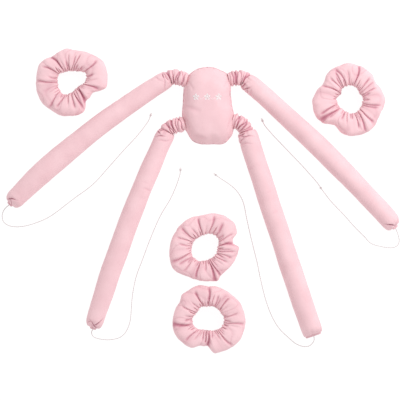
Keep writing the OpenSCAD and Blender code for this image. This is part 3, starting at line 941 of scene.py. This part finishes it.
def make_hem(i):
    """The arm's end, folded under and sewn across, with the cord coming out of the fold."""
    name = ARMS[i]
    heading = arm_heading(i, 1.0)
    left = np.array([-heading[1], heading[0], 0.0])
    forward = np.append(heading, 0.0)
    at = np.append(np.array(ARM_TO[i], float), arm_height(i, 1.0) / 2)
    s = np.linspace(0, 1, HEM_ROWS)
    a = circle_of(HEM_SIDES)[0]
    half = HEM_HALF[i] * (1.04 - HEM_NARROWING[i] * s**2)
    tall = 2.9 - 0.9 * s
    tip = np.sqrt(np.clip(1 - np.clip((s - 0.86) / 0.14, 0, 1) ** 2, 0.0, 1))
    half, tall = half * (0.8 + 0.2 * tip), tall * (0.25 + 0.75 * tip)
    x = np.sign(np.cos(a)) * np.abs(np.cos(a)) ** HEM_SQUARENESS
    z = np.sign(np.sin(a)) * np.abs(np.sin(a)) ** HEM_SQUARENESS
    length = -HEM_TUCK - HEM_INSIDE + (HEM_LENGTH + HEM_INSIDE) * s
    waist = 1 - sum(STITCH_WAIST * bell((s - w) / 0.05) for w in HEM_STITCHES)
    rings = (
        at + forward * length[:, None, None]
        + left * (half[:, None] * x[None])[..., None]
        + np.array([0, 0, 1.0]) * ((tall * waist)[:, None] * z[None])[..., None]
    )
    grid = hum(rings, 5, 700 + i)
    rings[..., 2] += grid * 0.25
    rings[..., 2] = np.maximum(rings[..., 2], 0.2)
    skin = Skin()
    # painted shade where the stitches pinch the hem
    painted_shade = np.clip((1 - waist) * 5, 0, 1)[:, None] * np.ones(len(a)) * 0.6
    skin.tube(rings, painted_shade)
    hem = skin.piece(f"{name}_hem", seam_cloth)
    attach(hem, f"{name}_arm")
    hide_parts(f"{name}_end_hem")
    skin = Skin()
    for w in HEM_STITCHES:
        k = int(w * (len(s) - 1))
        over = rings[k, 2:23]
        normal = np.tile([0, 0, 1.0], (len(over), 1)) + left * np.cos(a[2:23])[:, None] * 0.6
        stitches(skin, over + unit(normal) * 0.1, normal, length=1.5, gap=0.8, radius=0.24)
        below = rings[k, 26:47]
        stitches(skin, below, -normal, length=1.5, gap=0.8, radius=0.2)
    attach(skin.piece(f"{name}_hem_stitches", white_thread), f"{name}_arm")


for arm in range(len(ARMS)):
    make_arm(arm)
    make_hem(arm)

# ---------- scrunchies
SCRUNCHIES = ["left", "right", "middle", "lower"]
RING_CENTRE = [(-220, 38), (225, 10), (-7, -228), (0, -342)]
RING_OUTER = [
    (57, 61, 53, 51, 51, 57, 56, 57, 56, 55, 52, 51),
    (58, 51, 56, 58, 55, 49, 58, 60, 50, 59, 61, 56),
    (56, 58, 61, 54, 53, 53, 55, 60, 53, 54, 50, 52),
    (59, 57, 53, 53, 57, 53, 57, 58, 54, 53, 57, 61),
]
RING_HOLE = [
    (21, 26, 18, 16, 17, 22, 20, 21, 22, 16, 12, 12),
    (21.5, 18, 21, 21, 19, 14, 19, 18, 17, 21, 22.5, 21),
    (20, 25, 25, 20, 17, 18, 18, 21, 21, 19, 18, 20),
    (23.5, 21, 20, 19, 21, 20, 24, 24, 18, 16, 19, 23),
]
RING_PINCH = [(322, 13, 23), (240, 3, 14), (13, 9, 9), (259, 10, 16)]
RING_HEIGHT = 28.0
# Each scrunchie's long creases: angle, depth, half width in degrees, how far out it runs, lean
RING_CREASES = [
    [(33, 3.6, 4, 0.85, 8), (77, 3.2, 3, 0.8, -7), (84, 2.6, 3, 0.7, -6), (94, 2.2, 3, 0.7, 0),
     (121, 4.8, 4, 1.0, 8), (147, 3.4, 4, 0.8, 6), (182, 3.0, 4, 0.95, -2), (224, 3.4, 4, 0.95, 6),
     (246, 3.2, 4, 0.7, -4), (262, 3.0, 3, 0.5, 2), (275, 3.6, 4, 0.7, 4), (287, 3.8, 4, 0.95, 8),
     (350, 3.6, 4, 0.9, -8), (323, 6.5, 6, 1.0, -19)],
    [(18, 2.8, 4, 0.8, 6), (30, 3.0, 4, 0.85, 5), (42, 3.0, 4, 0.8, 4), (71, 4.4, 4, 1.0, 2),
     (104, 4.0, 4, 0.95, 10), (114, 3.4, 3, 0.8, 8), (130, 3.2, 4, 0.8, 2), (148, 3.6, 4, 1.0, 4),
     (205, 3.6, 4, 0.8, 2), (221, 5.0, 6, 1.0, -4), (262, 2.6, 3, 0.5, 0), (289, 3.6, 3, 0.7, -2),
     (302, 4.0, 4, 0.95, -4), (317, 3.6, 4, 0.9, -3), (343, 3.2, 4, 0.8, 4)],
    [(11, 4.6, 5, 1.0, -2), (24, 2.8, 4, 0.8, 2), (350, 3.0, 4, 0.8, 2), (71, 3.4, 4, 0.9, 2),
     (99, 4.0, 4, 0.9, 2), (138, 3.6, 5, 0.9, 2), (155, 3.0, 4, 0.8, 2), (200, 3.6, 5, 0.95, 4),
     (225, 2.8, 4, 0.8, 4), (253, 4.0, 5, 0.9, 2), (289, 5.0, 5, 1.0, 2), (299, 4.0, 4, 1.0, 0),
     (325, 3.0, 4, 0.7, 2), (339, 2.8, 4, 0.8, 2)],
    [(10, 2.8, 4, 0.7, 2), (43, 3.6, 4, 0.8, 4), (60, 3.0, 4, 0.6, 2), (76, 3.0, 3, 0.6, 2),
     (90, 4.4, 4, 0.95, -2), (112, 4.0, 4, 0.8, 4), (150, 3.0, 4, 0.8, 4), (195, 4.8, 6, 1.0, -6),
     (222, 3.4, 5, 0.8, 2), (250, 3.2, 4, 0.6, 2), (262, 3.8, 4, 0.8, -2), (270, 5.5, 5, 1.0, 0),
     (310, 3.4, 4, 0.9, 2), (350, 3.2, 4, 0.9, 2)],
]
# Where outer folds stand out as corners: angle, distance and half width in degrees
RING_CORNERS = [
    [(100, 2.5, 12), (350, 3, 8)],
    [(220, 1.2, 10), (330, 1, 8)],
    [(291, 7, 9), (38, 3.5, 9)],
    [(138, 4, 8), (189, 2.5, 8), (281, 2, 6)],
]
# Each round of gathers: how many, how deep, how far out, and how much they lean
GATHER_ROUNDS = [(46, 3.4, 0.30, 5), (24, 3.2, 0.55, 9), (9, 1.8, 1.05, 12)]
RING_ROUND, RING_ACROSS = 600, 64
RING_WIDENING = 1.35  # of the long creases
RUMPLE_SIZE, RUMPLE_DEPTH = 30, 0.9


def ring_value(values, angle):
    """Smooth value at an angle in degrees, from a list of values every 30 degrees."""
    fine = catmull([(v,) for v in values], 30, closed=True)[:, 0]
    at = np.arange(len(fine)) * 360 / len(fine)
    straight = np.interp(at, np.arange(12) * 30, values, period=360)
    return np.interp(angle % 360, at, 0.4 * fine + 0.6 * straight, period=360)


def apart(a, b):
    return (a - b + 180) % 360 - 180


def valleys(places, angle, out, widths):
    """Depth of folds that run out from the hole: sharp valleys between round ridges.
    Each place is the fold's angle, depth, how far out it runs, and how it leans."""
    depth = np.zeros_like(angle)
    for (at, deep, reach, lean), wide in zip(places, widths):
        wander = lean * out + 1.6 * np.sin(out * 5 + at)
        away = np.abs(apart(angle, at + wander)) / wide
        fade = smoothstep((reach - out) / 0.25 + 0.5)
        depth = np.maximum(depth, deep * fade * np.maximum(1 - away, 0) ** 1.6)
    return depth


def make_scrunchie(s):
    name = SCRUNCHIES[s]
    rng = np.random.RandomState(40 + s)
    turn = np.arange(RING_ROUND) * 360 / RING_ROUND
    # Angle across the tube: 0 at its outer edge, 90 on top, 180 at the hole, 270 underneath
    b = np.arange(RING_ACROSS) / RING_ACROSS * TURN
    # Share of the way out from the hole to the outer edge, the same above and below
    outwards = (1 + np.cos(b)) / 2
    angle, out = np.meshgrid(turn, outwards, indexing="ij")

    long_ones = [(at, deep, reach, lean) for at, deep, _, reach, lean in RING_CREASES[s]]
    widths = [c[2] * RING_WIDENING * (0.55 + 0.75 * out) for c in RING_CREASES[s]]
    depth = valleys(long_ones, angle, out, widths)
    # Rounds of gathers: short and close together at the hole, fewer and longer further out
    for count, deep, reach, lean in GATHER_ROUNDS:
        places = [
            (
                (k + rng.uniform(-0.45, 0.45)) * 360 / count,
                deep * rng.uniform(0.15, 1.0) ** 0.7,
                reach * rng.uniform(0.3, 1.35),
                lean * rng.uniform(-1, 1),
            )
            for k in range(count)
        ]
        depth = np.maximum(depth, valleys(places, angle, out, [180 / count] * count))

    near = ring_value(RING_HOLE[s], turn)
    far = ring_value(RING_OUTER[s], turn)
    pinch_at, pinch_deep, pinch_wide = RING_PINCH[s]
    far = far - pinch_deep * np.exp(-((apart(turn, pinch_at) / pinch_wide) ** 4))
    for corner_at, corner_out, corner_wide in RING_CORNERS[s]:
        far = far + corner_out * np.exp(-np.abs(apart(turn, corner_at) / corner_wide) ** 1.5)
    circle = around_at(np.radians(turn))
    spread = 30 + 20 * outwards
    height = np.broadcast_to(np.sin(b) * 14, angle.shape)
    grid = np.stack([circle[:, :1] * spread, circle[:, 1:] * spread, height], axis=2)
    slack = hum(grid, 24, 60 + s) * 1.5 + hum(grid, 9, 70 + s) * 0.4
    rumple = np.exp(-np.abs(hum(grid, RUMPLE_SIZE, 80 + s)) / 0.10) * smoothstep(out / 0.3)
    rumple *= RUMPLE_DEPTH
    top = np.broadcast_to(np.sin(b), angle.shape)
    # At the hole the gathers stop at the elastic
    depth = np.minimum(depth, 2.0 + 9 * out)
    puff = slack * (0.35 + 0.65 * out) - depth * (0.6 + 0.4 * np.maximum(top, 0)) - rumple
    half = ((far - near) / 2)[:, None] + puff * 0.8
    middle = ((far + near) / 2)[:, None]
    tall = RING_HEIGHT / 2 + puff * 0.9 - 1.2 * (1 - out) * np.maximum(top, 0)
    r = middle + half * (np.sign(np.cos(b)) * np.abs(np.cos(b)) ** 0.85)[None]
    r += depth * 0.5 * (1 - out) ** 3  # the gathers scallop the hole's edge
    z = RING_HEIGHT / 2 + tall * np.sign(top) * np.abs(top) ** 0.8
    z = np.where(z < 2.0, 0.3 + 1.7 * np.exp((z - 2.0) / 1.7), z)
    centre = np.array(RING_CENTRE[s], float)
    rings = np.stack([centre[0] + r * circle[:, :1], centre[1] + r * circle[:, 1:], z], axis=2)
    # painted shade down in the gathers, creases and rumples
    painted_shade = np.clip((depth - 0.5) / 3.2, 0, 1) ** 1.3 + 0.3 * rumple
    skin = Skin()
    skin.add(rings, grid_faces(RING_ROUND, RING_ACROSS, close_rows=True), np.clip(painted_shade, 0, 1))
    ring = skin.piece(f"scrunchie_{name}_ring", ring_cloth)
    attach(ring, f"scrunchie_{name}")
    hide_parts(f"scrunchie_{name}_cover", f"scrunchie_{name}_join_seam")


for ring_number in range(len(SCRUNCHIES)):
    make_scrunchie(ring_number)

for node_name, node_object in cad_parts.items():
    if node_name.endswith("elastic"):
        node_object.data.materials.clear()
        node_object.data.materials.append(elastic_cloth)

# ---------- floor and lights
WHITE = (1, 1, 1, 1)
FLOOR_HALF, FLOOR_DROP = 4.0, 0.0004  # in metres; the drop keeps it clear of the undersides
FLOOR_GREY, FLOOR_GLOW = (0.18, 0.18, 0.18, 1), 0.88  # it glows, so that shadows stay pale
WORLD_LIGHT = 0.82
KEY_AT, KEY_SIZE, KEY_WATTS = (1.3, 1.0, 1.6), 1.1, 27


def make_stage():
    half = FLOOR_HALF
    corners = [(-half, -half, 0), (half, -half, 0), (half, half, 0), (-half, half, 0)]
    mesh = bpy.data.meshes.new("floor")
    mesh.from_pydata(corners, [], [(0, 1, 2, 3)])
    floor = bpy.data.objects.new("floor", mesh)
    bpy.context.scene.collection.objects.link(floor)
    floor.location.z = -FLOOR_DROP
    white = bpy.data.materials.new("floor_white")
    white.use_nodes = True
    surface = white.node_tree.nodes["Principled BSDF"].inputs
    surface["Base Color"].default_value = FLOOR_GREY
    surface["Roughness"].default_value = 0.9
    surface["Emission Color"].default_value = WHITE
    surface["Emission Strength"].default_value = FLOOR_GLOW
    mesh.materials.append(white)

    world = bpy.data.worlds.new("studio")
    world.use_nodes = True
    world.node_tree.nodes["Background"].inputs["Color"].default_value = WHITE
    world.node_tree.nodes["Background"].inputs["Strength"].default_value = WORLD_LIGHT
    bpy.context.scene.world = world

    light = bpy.data.lights.new("key", "AREA")
    light.shape, light.size, light.energy = "SQUARE", KEY_SIZE, KEY_WATTS
    lamp = bpy.data.objects.new("key", light)
    lamp.location = KEY_AT
    aim = Vector((VIEW_CENTRE[0] * MM, VIEW_CENTRE[1] * MM, 0)) - Vector(KEY_AT)
    lamp.rotation_mode = "QUATERNION"
    lamp.rotation_quaternion = aim.to_track_quat("-Z", "Y")
    bpy.context.scene.collection.objects.link(lamp)
    bpy.context.scene.view_settings.view_transform = "Standard"


make_stage()
